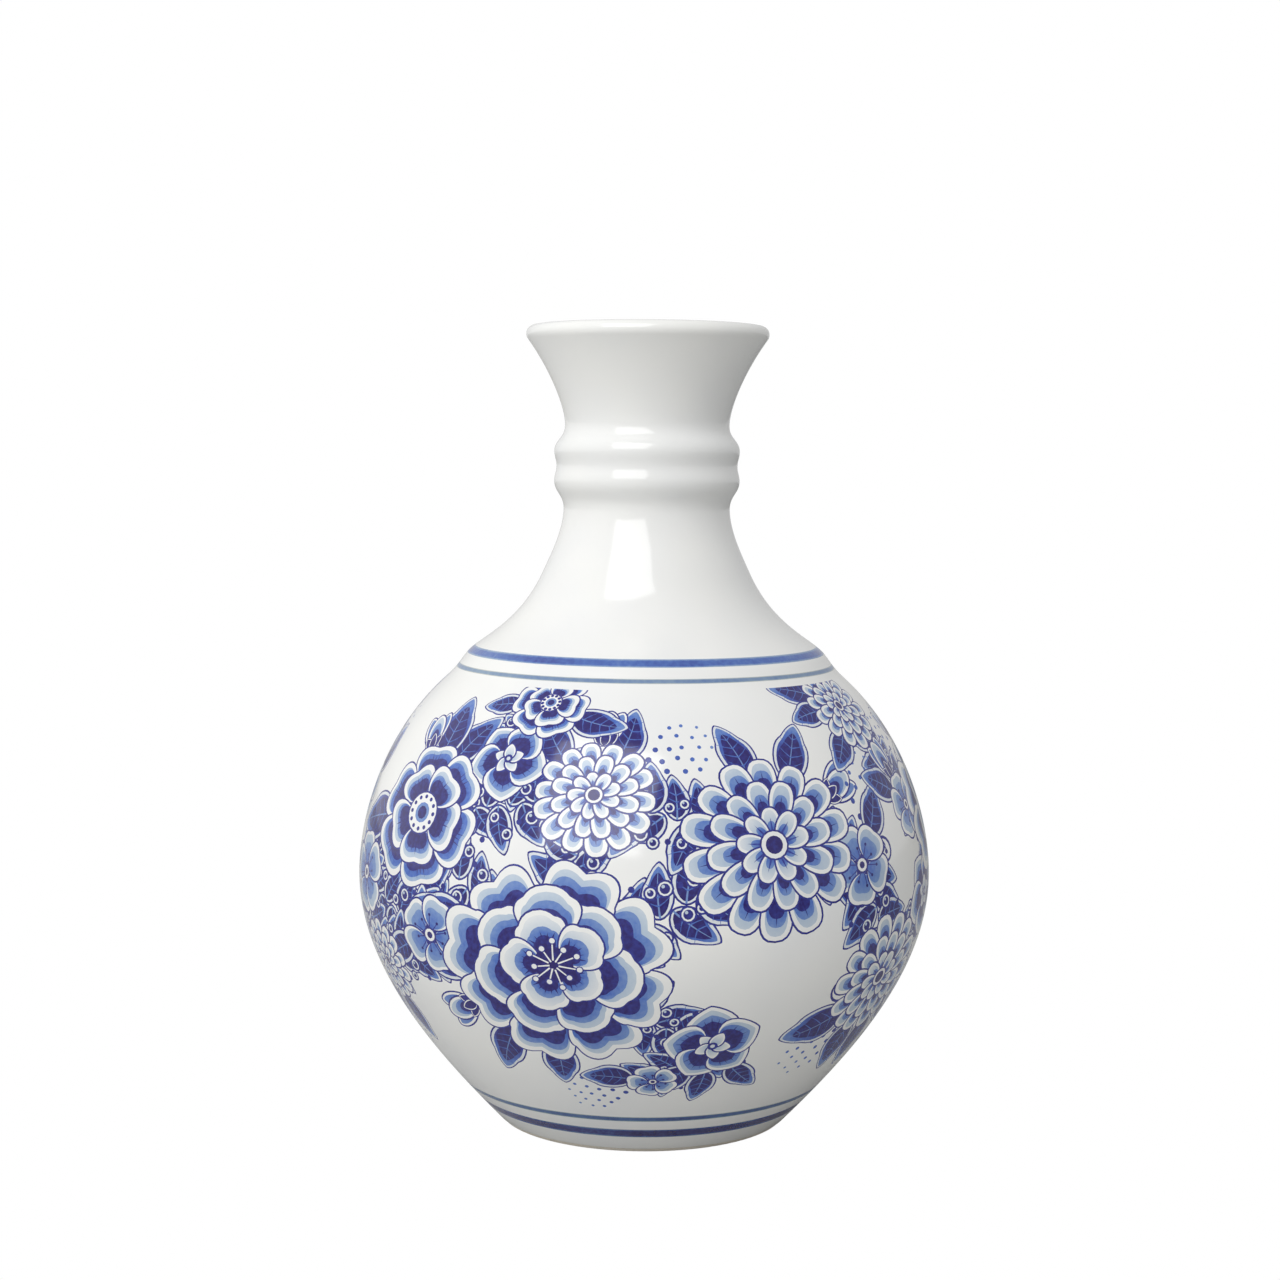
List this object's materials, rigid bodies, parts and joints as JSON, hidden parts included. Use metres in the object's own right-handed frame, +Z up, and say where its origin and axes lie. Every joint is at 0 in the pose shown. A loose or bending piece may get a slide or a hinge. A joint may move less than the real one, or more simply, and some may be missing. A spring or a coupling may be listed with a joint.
{
  "type": "sake bottle",
  "caption": "Round-bellied porcelain sake bottle with a ringed neck, trumpet mouth and small foot, glazed white with cobalt bands and flowers.",
  "frame": {"origin": "centre of the foot, on the surface the bottle stands on", "axes": "+Z up along the bottle's axis of turning, -Y towards the front of the flower decoration, +X to its right"},
  "size_m": [0.101, 0.1008, 0.14],
  "materials": {
    "porcelain": "fine unglazed",
    "white_glaze": "gloss",
    "cobalt_deep": "gloss",
    "cobalt_pale": "gloss",
    "cobalt_print": "gloss"
  },
  "bodies": {
    "root": {"clay_body": "porcelain", "outer_glaze": "white_glaze", "inner_glaze": "white_glaze", "base_glaze": "white_glaze", "foot_band_wide": "cobalt_deep", "foot_band_narrow": "cobalt_pale", "shoulder_band_narrow": "cobalt_pale", "shoulder_band_wide": "cobalt_deep", "flower_transfer_front": "cobalt_print", "flower_transfer_back": "cobalt_print"}
  },
  "joints": []
}
